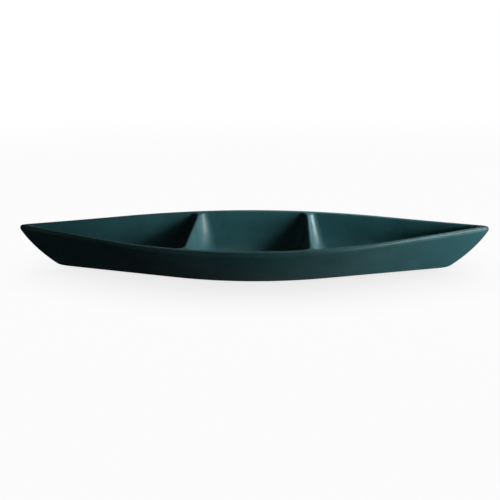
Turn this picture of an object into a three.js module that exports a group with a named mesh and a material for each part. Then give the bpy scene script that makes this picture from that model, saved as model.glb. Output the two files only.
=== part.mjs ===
// Serving boat: a long glazed ceramic dish shaped like a canoe, with two cross walls that part it into three
// compartments. Millimetres, +Z up, X along the boat. The origin is on the table, under the middle of the dish.
import * as THREE from "three";
import { LoftGeometry } from "three/addons/geometries/LoftGeometry.js";

// Hull, outside
const overallLength = 411; // tip to tip, over the rim
const overallBeam = 125; // across the rim amidships
const rimHeight = 36.8; // top of the rim above the table, amidships
const tipHeight = 40.6; // top of the rim above the table, at both tips
const baseLength = 345.6; // flat underside, end to end
const baseBeam = 73.4; // flat underside, across amidships
const rimBelly = 122; // from amidships to where the rim starts to run straight to the tip
const baseBelly = 64; // the same, for the underside
const tipSetback = 4; // how far a blunt tip stands back from where its two sides would meet
const sideLean = 32; // degrees from upright, the sides at the rim
const stemLean = 29; // degrees from upright, the stems at the rim
const baseEdge = 2.5; // size of the rounded edge round the underside

// Hull, inside
const wallThickness = 6.4; // also the width of the full-round rim
const floorThickness = 6;
const floorInset = 4; // the floor's corner, inside the edge of the underside
const floorFillet = 10; // run of the curve from wall to floor
const throatSetback = 9; // blunting of the inside corner behind each tip

// Dividers
const dividerSpacing = 102.7; // between the two crests
const crestThickness = 3.6; // full-round top edge
const crestDrop = 0.8; // crests below the rim
const dividerDraft = 9; // degrees that each face leans out towards its foot
const dividerFillet = 13; // run of the luted fillet where a divider meets wall and floor

// Foot
const footHeight = 2; // the underside stands this far off the table
const footWidth = 5;
const footInset = 6; // the foot's outer side, inside the edge of the underside
const footChamfer = 0.6;

const jointGap = 0.3; // between a divider and the hull that it is luted to

// Facets along a quarter of a level line
const tipSteps = 3;
const sideSteps = 5;
const bellySteps = 9;

// Facets up the hull, over the rim and down to the floor
const edgeSteps = 3;
const wallSteps = 5;
const rimSteps = 8;
const liningSteps = 4;
const filletSteps = 6;

// Facets of a divider: from wall to wall, then up through its foot, its plain faces and its crest
const dividerSteps = 18;
const dividerFootSteps = 5;
const dividerFaceSteps = 3;
const crestSteps = 4;
const crestFlat = 0.02; // cut off the very top of the crest, to leave a facet there

const hullSteps = { edge: edgeSteps, wall: wallSteps, rim: rimSteps, lining: liningSteps, fillet: filletSteps };
const underside = footHeight;
const floorTop = underside + floorThickness;
const rimRadius = wallThickness / 2;
const leanOf = (degrees) => Math.tan(THREE.MathUtils.degToRad(degrees));
const { lerp } = THREE.MathUtils;

// Slope of an outline's straight sides, and how much further its tips move than its sides when it is inset.
function slopeOf(halfLength, halfBeam, belly, setback) {
  return halfBeam / (halfLength + setback - belly / 2);
}
function reachOf(halfLength, halfBeam, belly) {
  const slope = slopeOf(halfLength, halfBeam, belly, tipSetback);
  return Math.hypot(1, slope) / slope;
}
const rimReach = reachOf(overallLength / 2, overallBeam / 2, rimBelly);
const baseReach = reachOf(baseLength / 2, baseBeam / 2, baseBelly);

// A quarter of a level line, from the blunt tip along the straight side and round the belly to amidships.
function quarterOutline({ halfLength, halfBeam, belly, setback }) {
  const slope = slopeOf(halfLength, halfBeam, belly, setback);
  const onSide = (x) => new THREE.Vector2(x, slope * (halfLength + setback - x));
  const tip = new THREE.Vector2(halfLength, 0);
  const amidships = new THREE.Vector2(0, halfBeam);
  const shoulder = onSide(halfLength - setback);
  const bilge = onSide(belly);
  const runs = [
    [new THREE.QuadraticBezierCurve(tip, onSide(halfLength), shoulder), tipSteps],
    [new THREE.LineCurve(shoulder, bilge), sideSteps],
    [new THREE.QuadraticBezierCurve(bilge, onSide(belly / 2), amidships), bellySteps],
  ];
  return [tip, ...runs.flatMap(([curve, steps]) => curve.getPoints(steps).slice(1))];
}

// The whole level line as a ring of points, counterclockwise from above, rising from amidships to the tips.
function ringOf(level) {
  const quarter = quarterOutline(level);
  const half = [...quarter, ...quarter.slice(0, -1).reverse().map((p) => new THREE.Vector2(-p.x, p.y))];
  const mirrored = half.slice(1, -1).reverse().map((p) => new THREE.Vector2(p.x, -p.y));
  return [...half, ...mirrored].map((p) => new THREE.Vector3(p.x, p.y, heightAt(level, p.x)));
}
function heightAt({ halfLength, middleHeight, endHeight }, x) {
  return lerp(middleHeight, endHeight, (x / halfLength) ** 2);
}

// A ring pressed flat onto the boat's centre line, which closes a flat face.
function spineOf(level) {
  return ringOf(level).map((p) => new THREE.Vector3(p.x, 0, p.z));
}

// Half breadth of a level line at x, along its belly or its straight side.
function breadthAt({ halfLength, halfBeam, belly, setback }, x) {
  const slope = slopeOf(halfLength, halfBeam, belly, setback);
  const past = Math.max(0, belly - Math.abs(x));
  return slope * (halfLength + setback - Math.abs(x) - past ** 2 / (2 * belly));
}

// Half a section through the hull's wall, from the underside over the rim to the floor, as five joined curves.
function wallCurves({ base, rim, crown, lean, rimStretch, baseStretch }) {
  const at = (x, z) => new THREE.Vector2(x, z);
  const turn = Math.atan(lean / rimStretch);
  const rimCurve = new THREE.EllipseCurve(
    rim - rimRadius * rimStretch,
    crown - rimRadius,
    rimRadius * rimStretch,
    rimRadius,
    -turn,
    Math.PI - turn,
  );
  const wallTop = rimCurve.getPoint(0);
  const liningTop = rimCurve.getPoint(1);
  const heel = at(base, underside);
  const floorCorner = at(base - floorInset * baseStretch, floorTop);
  const bowFrom = (top, foot) => at(top.x - (lean * (top.y - foot.y)) / 2, (top.y + foot.y) / 2);
  const wallBow = bowFrom(wallTop, heel);
  const liningBow = bowFrom(liningTop, floorCorner);
  const upFrom = (foot, bow, rise) => foot.clone().lerp(bow, rise / (bow.y - foot.y));
  const edgeTop = upFrom(heel, wallBow, baseEdge);
  const filletTop = upFrom(floorCorner, liningBow, floorFillet);
  const bend = (from, corner, to) => new THREE.QuadraticBezierCurve(from, corner, to);
  return {
    edge: bend(at(base - baseEdge * baseStretch, underside), heel, edgeTop),
    wall: bend(edgeTop, wallBow, wallTop),
    rim: rimCurve,
    lining: bend(liningTop, liningBow, filletTop),
    fillet: bend(filletTop, floorCorner, at(floorCorner.x - floorFillet * baseStretch, floorTop)),
  };
}

// The hull's level lines, each through the same step of the midship section and of the section along the keel.
const midship = wallCurves({
  base: baseBeam / 2,
  rim: overallBeam / 2,
  crown: rimHeight,
  lean: leanOf(sideLean),
  rimStretch: 1,
  baseStretch: 1,
});
const keel = wallCurves({
  base: baseLength / 2,
  rim: overallLength / 2,
  crown: tipHeight,
  lean: leanOf(stemLean),
  rimStretch: rimReach,
  baseStretch: baseReach,
});
function levelAt(run, share) {
  const side = midship[run].getPoint(share);
  const end = keel[run].getPoint(share);
  const inside = { edge: 0, wall: 0, rim: share, lining: 1, fillet: 1 }[run];
  return {
    halfLength: end.x,
    halfBeam: side.x,
    middleHeight: side.y,
    endHeight: end.y,
    belly: lerp(baseBelly, rimBelly, (side.y - underside) / (rimHeight - underside)),
    setback: lerp(tipSetback, throatSetback, inside),
  };
}
function levelsOf(run) {
  const steps = hullSteps[run];
  return Array.from({ length: steps }, (_, i) => levelAt(run, (i + 1) / steps));
}
const undersideLevel = levelAt("edge", 0);
const hullLevels = [undersideLevel, ...Object.keys(hullSteps).flatMap(levelsOf)];
const floorLevel = hullLevels.at(-1);

// The inside of the hull, from the crown of the rim to the floor: its half breadth at x and height z, and its
// distance from a point of the cross section at x.
const crownLevel = levelAt("rim", 0.5);
const insideLevels = [crownLevel, ...hullLevels.slice(-filletSteps - liningSteps - rimSteps / 2)];
function hollowAt(x, z) {
  const below = insideLevels.findIndex((level, i) => i > 0 && heightAt(level, x) <= z);
  const lower = below < 0 ? insideLevels.length - 1 : below;
  const [above, under] = [insideLevels[lower - 1], insideLevels[lower]];
  const [top, bottom] = [heightAt(above, x), heightAt(under, x)];
  const share = THREE.MathUtils.clamp((z - bottom) / (top - bottom), 0, 1);
  return lerp(breadthAt(under, x), breadthAt(above, x), share);
}
function distanceFromHull(x, y, z) {
  const lining = insideLevels.map((level) => new THREE.Vector3(x, breadthAt(level, x), heightAt(level, x)));
  const line = [...lining, new THREE.Vector3(x, 0, floorTop)];
  const point = new THREE.Vector3(x, Math.abs(y), z);
  const nearest = new THREE.Vector3();
  const distances = line.slice(1).map((end, i) => {
    new THREE.Line3(line[i], end).closestPointToPoint(point, true, nearest);
    return nearest.distanceTo(point);
  });
  return Math.min(...distances);
}

// Pieces
function hullGeometry() {
  return new LoftGeometry([spineOf(undersideLevel), ...hullLevels.map(ringOf), spineOf(floorLevel)]);
}

// A cross wall: plan sections stacked from the floor to the crest, each one flared where it meets the hull.
function dividerGeometry(crestX) {
  const crestRadius = crestThickness / 2;
  const crestTop = heightAt(crownLevel, crestX) - crestDrop;
  const foot = floorTop + jointGap;
  const roundFrom = crestTop - crestRadius;
  const flare = (distance) => (dividerFillet / 2) * Math.max(0, 1 - distance / dividerFillet) ** 2;
  const halfThickness = (z) =>
    z > roundFrom
      ? Math.sqrt(crestRadius ** 2 - (z - roundFrom) ** 2)
      : crestRadius + (roundFrom - z) * leanOf(dividerDraft);
  const faceFrom = foot + dividerFillet;
  const stepsOf = (count, place) => Array.from({ length: count }, (_, i) => place(i / count));
  const levels = [
    ...stepsOf(dividerFootSteps, (share) => lerp(foot, faceFrom, share ** 1.5)),
    ...stepsOf(dividerFaceSteps, (share) => lerp(faceFrom, roundFrom, share)),
    ...stepsOf(crestSteps, (share) => roundFrom + crestRadius * Math.sin((share * Math.PI) / 2)),
    crestTop - crestFlat,
  ];
  const along = [...stepsOf(dividerSteps, (share) => -Math.cos(share * Math.PI)), 1];
  const sectionAt = (z) => {
    const breadth = hollowAt(crestX, z - jointGap) - jointGap;
    const sideOf = (sign) => (share) => {
      const half = halfThickness(z) + flare(distanceFromHull(crestX, share * breadth, z));
      const x = crestX + sign * half;
      return new THREE.Vector3(x, share * (hollowAt(x, z - jointGap) - jointGap), z);
    };
    return [...along.map(sideOf(1)), ...along.toReversed().map(sideOf(-1))];
  };
  return new LoftGeometry(levels.map(sectionAt), { capStart: true, capEnd: true });
}

// The unglazed ring that the dish stands on, inset all round from the edge of the underside.
function footGeometry() {
  const insetRing = (inset, z) =>
    ringOf({
      ...undersideLevel,
      halfLength: baseLength / 2 - inset * baseReach,
      halfBeam: baseBeam / 2 - inset,
      middleHeight: z,
      endHeight: z,
    });
  const outer = footInset;
  const inner = footInset + footWidth;
  const around = [
    insetRing(outer + footChamfer, 0),
    insetRing(outer, footChamfer),
    insetRing(outer, footHeight),
    insetRing(inner, footHeight),
    insetRing(inner, footChamfer),
    insetRing(inner - footChamfer, 0),
  ];
  return new LoftGeometry([...around, around[0]]);
}

// Finishes: satin teal glaze, and the bare fired clay of the foot.
const tealGlaze = { color: 0x12393d, roughness: 0.4, metalness: 0 };
const bareClay = { color: 0xc9b79c, roughness: 0.9, metalness: 0 };

function piece(name, geometry, finish) {
  const mesh = new THREE.Mesh(geometry, new THREE.MeshStandardMaterial(finish));
  mesh.name = name;
  return mesh;
}

const boat = new THREE.Group();
boat.add(piece("hull_shell", hullGeometry(), tealGlaze));
boat.add(piece("left_divider", dividerGeometry(-dividerSpacing / 2), tealGlaze));
boat.add(piece("right_divider", dividerGeometry(dividerSpacing / 2), tealGlaze));
boat.add(piece("foot_ring", footGeometry(), bareClay));

export default boat;
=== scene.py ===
import math

import bmesh
import bpy
from mathutils import Matrix, Vector


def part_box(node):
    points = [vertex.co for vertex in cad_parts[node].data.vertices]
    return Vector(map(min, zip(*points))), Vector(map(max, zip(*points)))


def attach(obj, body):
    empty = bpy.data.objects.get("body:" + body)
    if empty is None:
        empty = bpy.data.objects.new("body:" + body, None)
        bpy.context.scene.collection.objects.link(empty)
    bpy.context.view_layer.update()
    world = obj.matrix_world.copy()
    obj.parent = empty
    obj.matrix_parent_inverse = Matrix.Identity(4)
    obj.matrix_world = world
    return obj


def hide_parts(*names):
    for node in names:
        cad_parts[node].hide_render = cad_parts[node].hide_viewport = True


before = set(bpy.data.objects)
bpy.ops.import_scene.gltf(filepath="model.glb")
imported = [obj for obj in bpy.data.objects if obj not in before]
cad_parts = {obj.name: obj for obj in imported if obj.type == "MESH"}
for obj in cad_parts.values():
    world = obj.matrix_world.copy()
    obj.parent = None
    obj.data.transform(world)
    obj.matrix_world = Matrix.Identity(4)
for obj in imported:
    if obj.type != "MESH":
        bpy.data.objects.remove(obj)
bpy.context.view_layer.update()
scene = bpy.context.scene
scene.view_settings.view_transform = "Standard"
mm = 0.001
print("frame loaded")


def hexColor(code):  # sRGB hex to linear
    shares = [int(code[i:i + 2], 16) / 255 for i in (1, 3, 5)]
    return (*[c / 12.92 if c <= 0.04045 else ((c + 0.055) / 1.055) ** 2.4 for c in shares], 1)


def mix(a, b, share):
    return a + (b - a) * share


# Adds a node, sets its properties, then links or fills its sockets. A node given as a value means its
# first output.
def addNode(tree, kind, inputs=None, **settings):
    node = tree.nodes.new(kind)
    for name, value in settings.items():
        setattr(node, name, value)
    for socket, value in (inputs or {}).items():
        if isinstance(value, bpy.types.Node):
            value = value.outputs[0]
        if isinstance(value, bpy.types.NodeSocket):
            tree.links.new(value, node.inputs[socket])
        else:
            node.inputs[socket].default_value = value
    return node


# Lays one colour over another by a share.
def layColor(tree, share, under, over):
    return addNode(tree, "ShaderNodeMix", {0: share, 6: under, 7: over}, data_type="RGBA").outputs[2]


def noiseOf(tree, place, size, detail):
    return addNode(tree, "ShaderNodeTexNoise", {"Vector": place, "Scale": 1 / size, "Detail": detail})


def newMaterial(name):
    material = bpy.data.materials.new(name)
    material.use_nodes = True
    material.node_tree.nodes.clear()
    return material, material.node_tree


# Satin stoneware glaze over a slip-cast body. The eye gets a dark teal with slow clouds in it, a soft wide
# sheen, a faint orange-peel skin, paler edges where the glaze drew back (on the rim crown and the divider
# crests this paler tone is also a painted highlight) and deeper tone where it pooled.
satinGlaze = {
    "body": "#18585e",
    "cloud": "#27656b",
    "pooled": "#124046",
    # paler teal of thinned glaze; on the rim crown and the divider crests it is also a painted highlight
    "drawnBackAndHighlight": "#3c7375",
    "fleck": "#2e686a",
    "cloudSize": 34 * mm,
    "cloudRange": (0.35, 0.65),
    "fleckSize": 1.4 * mm,  # the crystals are about 0.3 mm, drawn coarser so that they show
    "fleckRange": (0.6, 0.74),
    "fleckStrength": 0.6,
    "thinRange": (0.5, 1.1),
    "peelSize": 2.2 * mm,
    "peelDepth": 0.02 * mm,
    "waverSize": 42 * mm,
    "waverDepth": 0.5 * mm,
    "roughness": (0.42, 0.52),
    "satinRange": (0.3, 0.7),
    "ior": 1.52,
    "coat": 0.075,
    "coatRoughness": 0.2,
    "bloom": 0.093,  # pale scatter of the crystals at a low angle
    "bloomRoughness": 0.58,
}


def satinTealGlaze():
    look = satinGlaze
    material, tree = newMaterial("satinTealGlaze")
    place = addNode(tree, "ShaderNodeTexCoord").outputs["Object"]
    clouds = noiseOf(tree, place, look["cloudSize"], 4)
    clouds.inputs["Roughness"].default_value = 0.55
    low, high = look["cloudRange"]
    cloudShare = addNode(tree, "ShaderNodeMapRange", {0: clouds, 1: low, 2: high},
                         interpolation_type="SMOOTHSTEP")
    tone = layColor(tree, cloudShare, hexColor(look["body"]), hexColor(look["cloud"]))
    flecks = noiseOf(tree, place, look["fleckSize"], 2)
    low, high = look["fleckRange"]
    fleckShare = addNode(tree, "ShaderNodeMapRange",
                         {0: flecks, 1: low, 2: high, 3: 0, 4: look["fleckStrength"]})
    tone = layColor(tree, fleckShare, tone, hexColor(look["fleck"]))
    pooled = addNode(tree, "ShaderNodeAttribute", attribute_name="glazePool").outputs["Fac"]
    tone = layColor(tree, pooled, tone, hexColor(look["pooled"]))
    # paler glaze where it drew back; on the rim crown and the divider crests this is also a painted
    # highlight
    thinAndHighlight = addNode(tree, "ShaderNodeAttribute", attribute_name="glazeThinAndHighlight").outputs["Fac"]
    low, high = look["thinRange"]
    patchy = addNode(tree, "ShaderNodeMapRange", {0: clouds, 3: low, 4: high})
    raggedThinAndHighlight = addNode(tree, "ShaderNodeMath", {0: thinAndHighlight, 1: patchy}, operation="MULTIPLY", use_clamp=True)
    tone = layColor(tree, raggedThinAndHighlight, tone, hexColor(look["drawnBackAndHighlight"]))
    low, high = look["satinRange"]
    smooth, rough = look["roughness"]
    satin = addNode(tree, "ShaderNodeMapRange", {0: clouds, 1: low, 2: high, 3: rough, 4: smooth})
    waver = noiseOf(tree, place, look["waverSize"], 1)
    waverBump = addNode(tree, "ShaderNodeBump",
                        {"Strength": 1, "Distance": look["waverDepth"], "Height": waver})
    peel = noiseOf(tree, place, look["peelSize"], 2)
    peelBump = addNode(tree, "ShaderNodeBump",
                       {"Strength": 1, "Distance": look["peelDepth"], "Height": peel, "Normal": waverBump})
    shader = addNode(tree, "ShaderNodeBsdfPrincipled", {
        "Base Color": tone,
        "Roughness": satin,
        "IOR": look["ior"],
        "Coat Weight": look["coat"],
        "Coat Roughness": look["coatRoughness"],
        "Sheen Weight": look["bloom"],
        "Sheen Roughness": look["bloomRoughness"],
        "Normal": peelBump,
    })
    addNode(tree, "ShaderNodeOutputMaterial", {"Surface": shader})
    return material


# Bare fired stoneware, sponged clean of glaze: dry and matt, buff with darker grit standing in it.
clayLook = {
    "body": "#c2ad8e",
    "toast": "#a98c67",
    "grit": "#7d6549",
    "toastSize": 22 * mm,
    "toastRange": (0.4, 0.7),
    "gritSize": 0.9 * mm,  # the grog is about 0.3 mm, drawn coarser so that it shows
    "gritRange": (0.58, 0.7),
    "gritDepth": 0.06 * mm,
    "roughness": (0.8, 0.92),
    "dryRange": (0.3, 0.7),
    "ior": 1.45,
}


def bareStoneware():
    look = clayLook
    material, tree = newMaterial("bareStoneware")
    place = addNode(tree, "ShaderNodeTexCoord").outputs["Object"]
    toast = noiseOf(tree, place, look["toastSize"], 3)
    low, high = look["toastRange"]
    toastShare = addNode(tree, "ShaderNodeMapRange", {0: toast, 1: low, 2: high})
    tone = layColor(tree, toastShare, hexColor(look["body"]), hexColor(look["toast"]))
    grit = noiseOf(tree, place, look["gritSize"], 3)
    low, high = look["gritRange"]
    gritShare = addNode(tree, "ShaderNodeMapRange", {0: grit, 1: low, 2: high})
    tone = layColor(tree, gritShare, tone, hexColor(look["grit"]))
    low, high = look["dryRange"]
    smooth, rough = look["roughness"]
    dry = addNode(tree, "ShaderNodeMapRange", {0: toast, 1: low, 2: high, 3: smooth, 4: rough})
    bump = addNode(tree, "ShaderNodeBump", {"Strength": 1, "Distance": look["gritDepth"], "Height": grit})
    shader = addNode(tree, "ShaderNodeBsdfPrincipled",
                     {"Base Color": tone, "Roughness": dry, "IOR": look["ior"], "Normal": bump})
    addNode(tree, "ShaderNodeOutputMaterial", {"Surface": shader})
    return material


glaze = satinTealGlaze()
clay = bareStoneware()
print("materials made")


# Geometry Nodes tree that lays a cage's points on level lines. Each line has a blunt tip, a straight side
# and a bowed belly, and rises from amidships to the tips. The cage's attributes say which line a point is
# on, and where.
def levelLineTree():
    tree = bpy.data.node_groups.new("levelLines", "GeometryNodeTree")
    tree.interface.new_socket("Geometry", in_out="INPUT", socket_type="NodeSocketGeometry")
    for size in ("Base Belly", "Rim Belly"):
        tree.interface.new_socket(size, in_out="INPUT", socket_type="NodeSocketFloat")
    tree.interface.new_socket("Finish", in_out="INPUT", socket_type="NodeSocketMaterial")
    tree.interface.new_socket("Geometry", in_out="OUTPUT", socket_type="NodeSocketGeometry")
    given = addNode(tree, "NodeGroupInput").outputs
    cage = {}
    for name in ("halfLength", "halfBeam", "middleHeight", "endHeight", "rise", "setback", "spread",
                 "along", "end", "side"):
        cage[name] = addNode(tree, "GeometryNodeInputNamedAttribute", {"Name": name},
                             data_type="FLOAT")

    belly = addNode(tree, "ShaderNodeMix", {0: cage["rise"], 2: given["Base Belly"], 3: given["Rim Belly"]})
    sidesMeet = addNode(tree, "ShaderNodeMath", {0: cage["halfLength"], 1: cage["setback"]},
                        operation="ADD")
    halfBelly = addNode(tree, "ShaderNodeMath", {0: belly, 1: 0.5}, operation="MULTIPLY")
    sideRun = addNode(tree, "ShaderNodeMath", {0: sidesMeet, 1: halfBelly}, operation="SUBTRACT")
    slope = addNode(tree, "ShaderNodeMath", {0: cage["halfBeam"], 1: sideRun}, operation="DIVIDE")

    # points crowd towards the tip, where the line turns
    crowded = addNode(tree, "ShaderNodeMath", {0: cage["along"], 1: 2.0}, operation="POWER")
    fromTip = addNode(tree, "ShaderNodeMath", {0: cage["halfLength"], 1: crowded}, operation="MULTIPLY")
    x = addNode(tree, "ShaderNodeMath", {0: cage["halfLength"], 1: fromTip}, operation="SUBTRACT")

    # breadth along the straight side, less the bow of the belly
    intoBelly = addNode(tree, "ShaderNodeMath", {0: belly, 1: x}, operation="SUBTRACT")
    past = addNode(tree, "ShaderNodeMath", {0: intoBelly, 1: 0.0}, operation="MAXIMUM")
    pastSquared = addNode(tree, "ShaderNodeMath", {0: past, 1: 2.0}, operation="POWER")
    twoBellies = addNode(tree, "ShaderNodeMath", {0: belly, 1: 2.0}, operation="MULTIPLY")
    bow = addNode(tree, "ShaderNodeMath", {0: pastSquared, 1: twoBellies}, operation="DIVIDE")
    straight = addNode(tree, "ShaderNodeMath", {0: sidesMeet, 1: x}, operation="SUBTRACT")
    bowed = addNode(tree, "ShaderNodeMath", {0: straight, 1: bow}, operation="SUBTRACT")
    sideBreadth = addNode(tree, "ShaderNodeMath", {0: slope, 1: bowed}, operation="MULTIPLY")

    # breadth round the blunt tip, a parabola that meets the side without a kink
    tipArea = addNode(tree, "ShaderNodeMath", {0: cage["setback"], 1: fromTip}, operation="MULTIPLY")
    tipRoot = addNode(tree, "ShaderNodeMath", {0: tipArea}, operation="SQRT")
    twoSlopes = addNode(tree, "ShaderNodeMath", {0: slope, 1: 2.0}, operation="MULTIPLY")
    tipBreadth = addNode(tree, "ShaderNodeMath", {0: twoSlopes, 1: tipRoot}, operation="MULTIPLY")
    atTip = addNode(tree, "ShaderNodeMath", {0: fromTip, 1: cage["setback"]}, operation="LESS_THAN")
    breadth = addNode(tree, "ShaderNodeMix", {0: atTip, 2: sideBreadth, 3: tipBreadth})

    signedX = addNode(tree, "ShaderNodeMath", {0: x, 1: cage["end"]}, operation="MULTIPLY")
    signedBreadth = addNode(tree, "ShaderNodeMath", {0: breadth, 1: cage["side"]}, operation="MULTIPLY")
    y = addNode(tree, "ShaderNodeMath", {0: signedBreadth, 1: cage["spread"]}, operation="MULTIPLY")
    outward = addNode(tree, "ShaderNodeMath", {0: 1.0, 1: crowded}, operation="SUBTRACT")
    sheer = addNode(tree, "ShaderNodeMath", {0: outward, 1: 2.0}, operation="POWER")
    z = addNode(tree, "ShaderNodeMix", {0: sheer, 2: cage["middleHeight"], 3: cage["endHeight"]})
    place = addNode(tree, "ShaderNodeCombineXYZ", {"X": signedX, "Y": y, "Z": z})

    laid = addNode(tree, "GeometryNodeSetPosition", {"Geometry": given["Geometry"], "Position": place})
    closed = addNode(tree, "GeometryNodeMergeByDistance", {"Geometry": laid, "Distance": 0.005 * mm})
    smooth = addNode(tree, "GeometryNodeSetShadeSmooth", {"Geometry": closed})
    real = addNode(tree, "GeometryNodeRealizeInstances", {"Geometry": smooth})
    finished = addNode(tree, "GeometryNodeSetMaterial", {"Geometry": real, "Material": given["Finish"]})
    addNode(tree, "NodeGroupOutput", {"Geometry": finished})
    return tree


# A cage of one row per level and four quarters of columns, run through the tree and kept as a plain mesh.
def layLevels(name, levels, columns, sizes, loop):
    quarters = ((1, 1), (-1, 1), (-1, -1), (1, -1))  # end and side, counterclockwise from the +X tip
    around = []
    for turn, (end, side) in enumerate(quarters):
        for step in range(columns):
            along = step / columns if turn % 2 == 0 else 1 - step / columns
            around.append({"along": along, "end": end, "side": side})
    count = len(around)
    rows = range(len(levels) if loop else len(levels) - 1)
    faces = []
    for row in rows:
        above = (row + 1) % len(levels)
        for k in range(count):
            after = (k + 1) % count
            faces.append((row * count + k, row * count + after, above * count + after, above * count + k))
    mesh = bpy.data.meshes.new(name)
    mesh.from_pydata([(k * mm, row * mm, 0) for row in range(len(levels)) for k in range(count)], [], faces)
    points = [{**level, **spot} for level in levels for spot in around]
    for key in points[0]:
        mesh.attributes.new(key, "FLOAT", "POINT").data.foreach_set("value", [p[key] for p in points])
    piece = bpy.data.objects.new(name, mesh)
    scene.collection.objects.link(piece)
    modifier = piece.modifiers.new("levelLines", "NODES")
    modifier.node_group = levelLines
    for socket in levelLines.interface.items_tree:
        if socket.in_out == "INPUT" and socket.name in sizes:
            modifier[socket.identifier] = sizes[socket.name]
    ready = bpy.context.evaluated_depsgraph_get()
    piece.data = bpy.data.meshes.new_from_object(
        piece.evaluated_get(ready), preserve_all_data_layers=True, depsgraph=ready)
    piece.modifiers.clear()
    for key in points[0]:
        if not key.startswith("glaze"):
            piece.data.attributes.remove(piece.data.attributes[key])
    return piece


levelLines = levelLineTree()
hullLow, hullHigh = (Vector(corner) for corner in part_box("hull_shell"))
hull = {
    "rimHeight": 36.8 * mm,  # amidships
    "baseLength": 345.6 * mm,
    "baseBeam": 73.4 * mm,
    "rimBelly": 122 * mm,
    "baseBelly": 64 * mm,
    "tipSetback": 4 * mm,  # from the blunt tip out to where the straight sides would meet
    "lipSetback": 3 * mm,  # the same at the rim's inner edge
    "throatSetback": 9 * mm,  # and at the foot of the lining
    "sideLean": 32,
    "stemLean": 29,
    "baseEdge": 2.5 * mm,
    "wall": 6.4 * mm,
    "rimFlat": 2,  # 1 is a full round, more is a flatter crown with tighter shoulders
    "floor": 6 * mm,
    "floorInset": 4 * mm,
    "floorFillet": 10 * mm,
    "edgeThin": 0.6,  # how far the glaze draws back from the base edge, and from the rim, whose paler crown is also a painted highlight
    "rimThinAndHighlight": 0.5,
    "filletPool": 0.25,
    "columns": 96,  # in a quarter
    "rows": {"edge": 5, "wall": 14, "rim": 20, "lining": 14, "fillet": 10},
    "floorSpread": (0.75, 0.5, 0.25, 0),
}
underside = hullLow.z
floorTop = underside + hull["floor"]


# The slope of a level line's straight side, its half breadth at x, and its height there.
def slopeOf(halfLength, halfBeam, belly, setback):
    return halfBeam / (halfLength + setback - belly / 2)


def reachOf(halfLength, halfBeam, belly):  # how far a tip moves when the sides move by one
    slope = slopeOf(halfLength, halfBeam, belly, hull["tipSetback"])
    return math.hypot(1, slope) / slope


def breadthAt(level, x):
    belly = mix(hull["baseBelly"], hull["rimBelly"], level["rise"])
    slope = slopeOf(level["halfLength"], level["halfBeam"], belly, level["setback"])
    past = max(0, belly - abs(x))
    return slope * (level["halfLength"] + level["setback"] - abs(x) - past ** 2 / (2 * belly))


def heightAt(level, x):
    return mix(level["middleHeight"], level["endHeight"], (x / level["halfLength"]) ** 2)


def quadBend(start, corner, end):
    return lambda share: start.lerp(corner, share).lerp(corner.lerp(end, share), share)


# Half a section through the wall: rounded base edge, bowed outside, rounded rim, lining and floor fillet.
# At the ends the lining starts from further in by the throat, which the levels give back as they narrow.
def wallSection(base, rim, crown, lean, rimStretch, baseStretch, throat):
    radius = hull["wall"] / 2
    turn = math.atan(lean / rimStretch)

    def onRim(share):
        angle = share * math.pi - turn
        across = radius * rimStretch * (math.cos(angle) - 1)
        up = math.sin(angle)
        if up > 0:
            up = 1 - (1 - up) ** hull["rimFlat"]
        return Vector((rim + across, crown + radius * (up - 1)))

    def bowFrom(top, foot):
        return Vector((top.x - lean * (top.y - foot.y) / 2, (top.y + foot.y) / 2))

    wallTop, liningTop = onRim(0), onRim(1) - Vector((throat, 0))
    heel = Vector((base, underside))
    floorCorner = Vector((base - hull["floorInset"] * baseStretch, floorTop))
    wallBow, liningBow = bowFrom(wallTop, heel), bowFrom(liningTop, floorCorner)
    edgeTop = heel.lerp(wallBow, hull["baseEdge"] / (wallBow.y - heel.y))
    filletTop = floorCorner.lerp(liningBow, hull["floorFillet"] / (liningBow.y - floorCorner.y))
    edgeStart = heel - Vector((hull["baseEdge"] * baseStretch, 0))
    filletEnd = floorCorner - Vector((hull["floorFillet"] * baseStretch, 0))
    return {
        "edge": quadBend(edgeStart, heel, edgeTop),
        "wall": quadBend(edgeTop, wallBow, wallTop),
        "rim": onRim,
        "lining": quadBend(liningTop, liningBow, filletTop),
        "fillet": quadBend(filletTop, floorCorner, filletEnd),
    }


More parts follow.
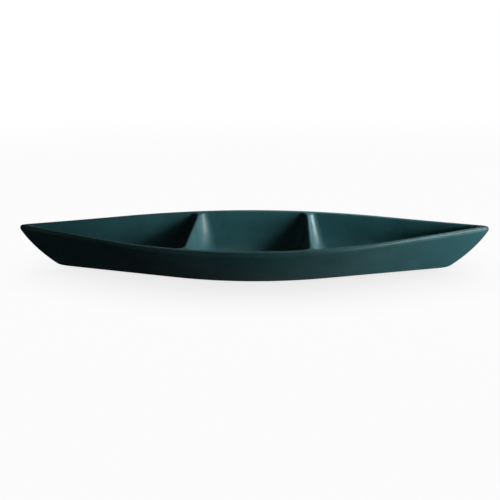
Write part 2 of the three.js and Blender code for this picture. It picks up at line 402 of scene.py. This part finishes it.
def hullLevels():
    baseReach = reachOf(hull["baseLength"] / 2, hull["baseBeam"] / 2, hull["baseBelly"])
    throat = hull["throatSetback"] - hull["lipSetback"]
    rimReach = reachOf(hullHigh.x, hullHigh.y, hull["rimBelly"]) - throat / hull["wall"]
    midship = wallSection(hull["baseBeam"] / 2, hullHigh.y, hull["rimHeight"],
                          math.tan(math.radians(hull["sideLean"])), 1, 1, 0)
    keel = wallSection(hull["baseLength"] / 2, hullHigh.x, hullHigh.z,
                       math.tan(math.radians(hull["stemLean"])), rimReach, baseReach, throat)
    levels = []
    for run, steps in hull["rows"].items():
        for step in range(0 if run == "edge" else 1, steps + 1):
            share = step / steps
            side, end = midship[run](share), keel[run](share)
            crest = math.sin(share * math.pi)  # swells to the middle of the run
            # the paler tone at the base edge is thinned glaze; at the rim crown it is thinned glaze and a
            # painted highlight
            drawnBackAndHighlight = {"edge": hull["edgeThin"] * crest, "rim": hull["rimThinAndHighlight"] * crest ** 2}
            setback = {
                "edge": hull["tipSetback"],
                "wall": hull["tipSetback"],
                "rim": mix(hull["tipSetback"], hull["lipSetback"], share),
                "lining": mix(hull["lipSetback"], hull["throatSetback"], share),
                "fillet": hull["throatSetback"],
            }[run]
            levels.append({
                "halfLength": end.x + (hull["throatSetback"] - setback if run == "lining" else 0),
                "halfBeam": side.x,
                "middleHeight": side.y,
                "endHeight": end.y,
                "rise": (side.y - underside) / (hull["rimHeight"] - underside),
                "setback": setback,
                "spread": 1,
                "glazeThinAndHighlight": drawnBackAndHighlight.get(run, 0),
                "glazePool": hull["filletPool"] * crest if run == "fillet" else 0,
            })
    return levels


walls = hullLevels()
belowFloor = [{**walls[0], "spread": 0}]
floorRows = [{**walls[-1], "spread": spread} for spread in hull["floorSpread"]]
hullSizes = {
    "Base Belly": hull["baseBelly"],
    "Rim Belly": hull["rimBelly"],
    "Finish": glaze,
}
hullShell = layLevels("hullShell", belowFloor + walls + floorRows, hull["columns"], hullSizes, loop=False)
print("hull laid")

divider = {
    "crest": 3.6 * mm,  # thickness of the full-round top edge
    "drop": 0.8 * mm,  # crest below the rim
    "draft": 9,  # degrees that each face leans out towards its foot
    "footFillet": 13 * mm,
    "rimFillet": 6.5 * mm,
    "shoulder": 9 * mm,  # the crest lifts to the rim over this run
    "sink": 0.06 * mm,  # feather edges run this far into the hull
    "tuck": 10,  # and this many times as far along it
    "columns": 80,
    "footRows": 16,
    "faceRows": 8,
    "crestRows": 10,
}
crownRow = sum(hull["rows"][run] for run in ("edge", "wall")) + hull["rows"]["rim"] // 2
insideLevels = walls[crownRow:]


# The hull's inside at one station, from the crown of the rim down to the middle of the floor.
def stationLine(x):
    line = [Vector((breadthAt(level, x), heightAt(level, x))) for level in insideLevels]
    return line + [Vector((0, floorTop))]


def hollowAt(line, z):
    for upper, lower in zip(line, line[1:-1]):
        if z >= lower.y:
            share = (z - lower.y) / (upper.y - lower.y)
            return mix(lower.x, upper.x, min(share, 1))
    return line[-2].x


def distanceTo(line, point):
    nearest = []
    for start, end in zip(line, line[1:]):
        run = end - start
        share = min(1, max(0, (point - start).dot(run) / run.length_squared))
        nearest.append((start + run * share - point).length)
    return min(nearest)


# A cross wall whose fillets end tangent to the hull, so that the glaze runs on without a seam.
def makeDivider(name, crestX):
    crown = heightAt(insideLevels[0], crestX)
    crestTop = crown - divider["drop"]
    radius = divider["crest"] / 2
    roundFrom = crestTop - radius
    draft = math.tan(math.radians(divider["draft"]))
    foot = floorTop - divider["sink"]
    faceFrom = floorTop + divider["footFillet"]
    stages = [mix(foot, faceFrom, (i / divider["footRows"]) ** 2) for i in range(divider["footRows"])]
    stages += [mix(faceFrom, roundFrom, i / divider["faceRows"]) for i in range(divider["faceRows"])]
    quarter = math.pi / 2 / divider["crestRows"]
    stages += [roundFrom + radius * math.sin(i * quarter) for i in range(divider["crestRows"] + 1)]
    shares = [-math.cos(math.pi * i / divider["columns"]) for i in range(divider["columns"] + 1)]
    breadth = hollowAt(stationLine(crestX), crestTop)

    def liftAt(share):
        near = max(0, 1 - (1 - abs(share)) * breadth / divider["shoulder"])
        return (divider["drop"] - divider["sink"]) * near * near * (3 - 2 * near)

    mesh = bmesh.new()
    thinAndHighlight = mesh.verts.layers.float.new("glazeThinAndHighlight")
    pool = mesh.verts.layers.float.new("glazePool")
    grid = {}
    for side in (1, -1):
        for row, stage in enumerate(stages):
            up = max(0, (stage - floorTop) / (crestTop - floorTop))
            fillet = mix(divider["footFillet"], divider["rimFillet"], up)
            if stage > roundFrom:
                half = math.sqrt(max(0, radius ** 2 - (stage - roundFrom) ** 2))
            else:
                half = radius + (roundFrom - stage) * draft
            for column, share in enumerate(shares):
                z = stage + liftAt(share) * up
                inWall = divider["sink"] if column in (0, divider["columns"]) else 0
                sunk = max(inWall, floorTop - z)
                x = crestX + side * half
                for settle in range(3):  # the hull narrows towards its tips, so the place is found in steps
                    line = stationLine(x)
                    spot = Vector((abs(share) * hollowAt(line, z), max(z, floorTop)))
                    gap = distanceTo(line, spot)
                    flare = fillet - math.sqrt(fillet ** 2 - max(0, fillet - gap) ** 2)
                    x = crestX + side * (half + flare + divider["tuck"] * sunk)
                y = share * (hollowAt(stationLine(x), z) + inWall)
                vert = mesh.verts.new((x, y, z))
                # the crest's round top turns paler: thinned glaze and also a painted highlight along the
                # crest
                vert[thinAndHighlight] = max(0, (stage - roundFrom) / radius) ** 2 * min(1, gap / fillet)
                vert[pool] = hull["filletPool"] * max(0, 1 - gap / fillet) * (1 - up)
                grid[side, row, column] = vert
    lastRow, lastColumn = len(stages) - 1, len(shares) - 1
    skin, hidden = [], []
    for row in range(lastRow):
        for column in range(lastColumn):
            patch = ((row, column), (row, column + 1), (row + 1, column + 1), (row + 1, column))
            skin.append([grid[1, r, c] for r, c in patch])
            skin.append([grid[-1, r, c] for r, c in reversed(patch)])
        ring = ((1, row), (1, row + 1), (-1, row + 1), (-1, row))
        for column, order in ((0, 1), (lastColumn, -1)):
            cap = [grid[side, r, column] for side, r in ring]
            hidden.append(cap[::order])
    for row, order, faces in ((lastRow, 1, skin), (0, -1, hidden)):
        for column in range(lastColumn):
            ring = ((1, column), (1, column + 1), (-1, column + 1), (-1, column))
            cap = [grid[side, row, c] for side, c in ring]
            faces.append(cap[::order])
    for corners in skin:
        mesh.faces.new(corners).smooth = True
    for corners in hidden:
        for edge in mesh.faces.new(corners).edges:
            edge.smooth = False  # keeps the shading of the feather edges clear of the hidden faces
    bmesh.ops.remove_doubles(mesh, verts=mesh.verts[:], dist=0.002 * mm)
    bmesh.ops.dissolve_degenerate(mesh, edges=mesh.edges[:], dist=0.001 * mm)
    data = bpy.data.meshes.new(name)
    mesh.to_mesh(data)
    mesh.free()
    data.materials.append(glaze)
    piece = bpy.data.objects.new(name, data)
    scene.collection.objects.link(piece)
    return piece


dividers = {}
for node in ("left_divider", "right_divider"):
    low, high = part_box(node)
    name = node.split("_")[0] + "Divider"
    dividers[node] = makeDivider(name, (low[0] + high[0]) / 2)
print("dividers made")

footLow, footHigh = (Vector(corner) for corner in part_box("foot_ring"))
foot = {
    "width": 5 * mm,
    "rounding": 0.6 * mm,
    "cornerRows": 4,
    "columns": 64,
}


# The foot's section, a bar with its two lower corners rounded, as rows of inset and height.
def footLevels():
    reach = reachOf(hull["baseLength"] / 2, hull["baseBeam"] / 2, hull["baseBelly"])
    rounding = foot["rounding"]
    section = [(0, footHigh.z)]
    for corner, start in ((rounding, math.pi), (foot["width"] - rounding, 1.5 * math.pi)):
        for step in range(foot["cornerRows"] + 1):
            angle = start + step / foot["cornerRows"] * math.pi / 2
            z = footLow.z + rounding * (1 + math.sin(angle))
            section.append((corner + rounding * math.cos(angle), z))
    section.append((foot["width"], footHigh.z))
    section.reverse()
    return [{
        "halfLength": footHigh.x - inset * reach,
        "halfBeam": footHigh.y - inset,
        "middleHeight": z,
        "endHeight": z,
        "rise": 0,
        "setback": hull["tipSetback"],
        "spread": 1,
    } for inset, z in section]


footSizes = {**hullSizes, "Finish": clay}
footRing = layLevels("footRing", footLevels(), foot["columns"], footSizes, loop=True)
print("foot laid")

stands = {
    "hull_shell": (hullShell, "teal_glaze"),
    "left_divider": (dividers["left_divider"], "teal_glaze"),
    "right_divider": (dividers["right_divider"], "teal_glaze"),
    "foot_ring": (footRing, "bare_clay"),
}
for node, (piece, finish) in stands.items():
    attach(piece, "root")
    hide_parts(node)
print("pieces set on the frame")

studio = {
    "paper": "#ababa9",
    "floorReach": 6,
    "nearDish": (0.7, 0.5),  # half axes of the floor that keeps its own shade in reflections
    "floorWhite": 0.97,  # share of plain white over the floor's own shade near the dish
    "paintedShadowLevel": 0.8,  # brightness of the white glow right under the dish, where the painted shadow is deepest
    "paintedShadowReach": 60 * mm,
    "fill": 0.027,
    "horizon": (0.0, 0.06),  # sines of the heights between which the white fades in a reflection
    "overhead": 0.02,
    "topLamp": {
        "place": (0.456, 0.09, 0.358),
        "aim": (0.103, 0.048, 0.02),
        "size": (0.148, 0.051),
        "beam": 50,
        "power": 0.027,
    },
    "keyLamp": {
        "place": (0.236, 0.07, 0.133),
        "aim": (0.001, 0.041, 0.02),
        "size": (0.155, 0.061),
        "beam": 67,
        "power": 0.125,
    },
    "frontLamp": {
        "place": (0.534, -0.286, 0.101),
        "aim": (0.202, 0.077, 0.02),
        "size": (0.214, 0.157),
        "beam": 64,
        "power": 0.341,
    },
}


# Pale matt floor. Seen straight on, or mirrored from further off, it is white paper, with a painted soft
# shadow near the dish, where ambient occlusion dims the white glow.
def makeFloor():
    material, tree = newMaterial("matPaper")
    rays = addNode(tree, "ShaderNodeLightPath").outputs
    place = addNode(tree, "ShaderNodeTexCoord").outputs["Object"]
    scale = [1 / half for half in studio["nearDish"]] + [0]
    away = addNode(tree, "ShaderNodeVectorMath", {0: place, 1: scale}, operation="MULTIPLY")
    distance = addNode(tree, "ShaderNodeVectorMath", {0: away}, operation="LENGTH").outputs["Value"]
    far = addNode(tree, "ShaderNodeMapRange", {0: distance, 1: 1.0, 2: 2.0},
                  interpolation_type="SMOOTHSTEP")
    mirrored = addNode(tree, "ShaderNodeMath", {0: rays["Is Glossy Ray"], 1: rays["Is Transmission Ray"]},
                       operation="MAXIMUM")
    mirroredFar = addNode(tree, "ShaderNodeMath", {0: mirrored, 1: far}, operation="MULTIPLY")
    whiteness = addNode(tree, "ShaderNodeMix", {0: far, 2: studio["floorWhite"], 3: 1.0})
    seen = addNode(tree, "ShaderNodeMath", {0: rays["Is Camera Ray"], 1: whiteness}, operation="MULTIPLY")
    white = addNode(tree, "ShaderNodeMath", {0: seen, 1: mirroredFar}, operation="MAXIMUM")
    matt = addNode(tree, "ShaderNodeBsdfDiffuse", {"Color": hexColor(studio["paper"])})
    # painted contact shadow: the white glow dims by ambient occlusion close to the dish
    clear = addNode(tree, "ShaderNodeAmbientOcclusion", {"Distance": studio["paintedShadowReach"]}).outputs["AO"]
    strength = addNode(tree, "ShaderNodeMapRange", {0: clear, 3: studio["paintedShadowLevel"], 4: 1.0})
    glow = addNode(tree, "ShaderNodeEmission", {"Strength": strength})
    shown = addNode(tree, "ShaderNodeMixShader", {0: white, 1: matt, 2: glow})
    addNode(tree, "ShaderNodeOutputMaterial", {"Surface": shown})
    mesh = bmesh.new()
    bmesh.ops.create_circle(mesh, cap_ends=True, segments=96, radius=studio["floorReach"])
    data = bpy.data.meshes.new("floor")
    mesh.to_mesh(data)
    mesh.free()
    data.materials.append(material)
    floor = bpy.data.objects.new("floor", data)
    scene.collection.objects.link(floor)


# The room: white to the eye, white at the horizon and dark overhead in a reflection, and dim as a light.
def makeRoom():
    world = bpy.data.worlds.new("room")
    world.use_nodes = True
    scene.world = world
    tree = world.node_tree
    tree.nodes.clear()
    rays = addNode(tree, "ShaderNodeLightPath").outputs
    place = addNode(tree, "ShaderNodeTexCoord").outputs["Generated"]
    height = addNode(tree, "ShaderNodeSeparateXYZ", {0: place}).outputs["Z"]
    low, high = studio["horizon"]
    horizon = addNode(tree, "ShaderNodeMapRange",
                      {0: height, 1: low, 2: high, 3: 1.0, 4: studio["overhead"]},
                      interpolation_type="SMOOTHSTEP")
    mirrored = addNode(tree, "ShaderNodeMath", {0: rays["Is Glossy Ray"], 1: rays["Is Transmission Ray"]},
                       operation="MAXIMUM")
    lit = addNode(tree, "ShaderNodeMix", {0: mirrored, 2: studio["fill"], 3: horizon})
    level = addNode(tree, "ShaderNodeMix", {0: rays["Is Camera Ray"], 2: lit, 3: 1.0})
    background = addNode(tree, "ShaderNodeBackground", {"Color": (1, 1, 1, 1), "Strength": level})
    addNode(tree, "ShaderNodeOutputWorld", {"Surface": background})


def hangLamp(name):
    settings = studio[name]
    lamp = bpy.data.lights.new(name, "AREA")
    lamp.shape = "RECTANGLE"
    lamp.size, lamp.size_y = settings["size"]
    lamp.spread = math.radians(settings["beam"])
    lamp.energy = settings["power"]
    place = Vector(settings["place"])
    hung = bpy.data.objects.new(name, lamp)
    hung.location = place
    hung.rotation_euler = (Vector(settings["aim"]) - place).to_track_quat("-Z", "Y").to_euler()
    hung.visible_camera = False
    scene.collection.objects.link(hung)


makeFloor()
makeRoom()
for name in ("topLamp", "keyLamp", "frontLamp"):
    hangLamp(name)
print("studio lit")

view = {
    "elevation": 21,
    "distance": 617.6 * mm,
    "sideStep": 1.8 * mm,
    "turn": 0.0507,  # radians about the dish's upright axis
    "roll": -0.0121,
    "focal": 689.7,  # in pixels of the picture
    "centre": (253.3, 268.6),  # the lens axis in the picture
    "picture": 500,
}


def placeCamera():
    tilt = math.radians(view["elevation"])
    turn = Matrix.Rotation(view["turn"], 3, "Z")
    away, up = view["distance"] * math.cos(tilt), view["distance"] * math.sin(tilt)
    stand = Vector((view["sideStep"], -away, up))
    right = turn @ Vector((1, 0, 0))
    back = turn @ Vector((0, -math.cos(tilt), math.sin(tilt)))
    axes = Matrix((right, back.cross(right), back)).transposed() @ Matrix.Rotation(view["roll"], 3, "Z")
    lens = bpy.data.cameras.new("camera")
    lens.sensor_width = 36
    lens.lens = view["focal"] * lens.sensor_width / view["picture"]
    lens.shift_x = 0.5 - view["centre"][0] / view["picture"]
    lens.shift_y = view["centre"][1] / view["picture"] - 0.5
    camera = bpy.data.objects.new("camera", lens)
    camera.matrix_world = Matrix.Translation(turn @ stand) @ axes.to_4x4()
    scene.collection.objects.link(camera)
    scene.camera = camera


placeCamera()
print("camera placed")
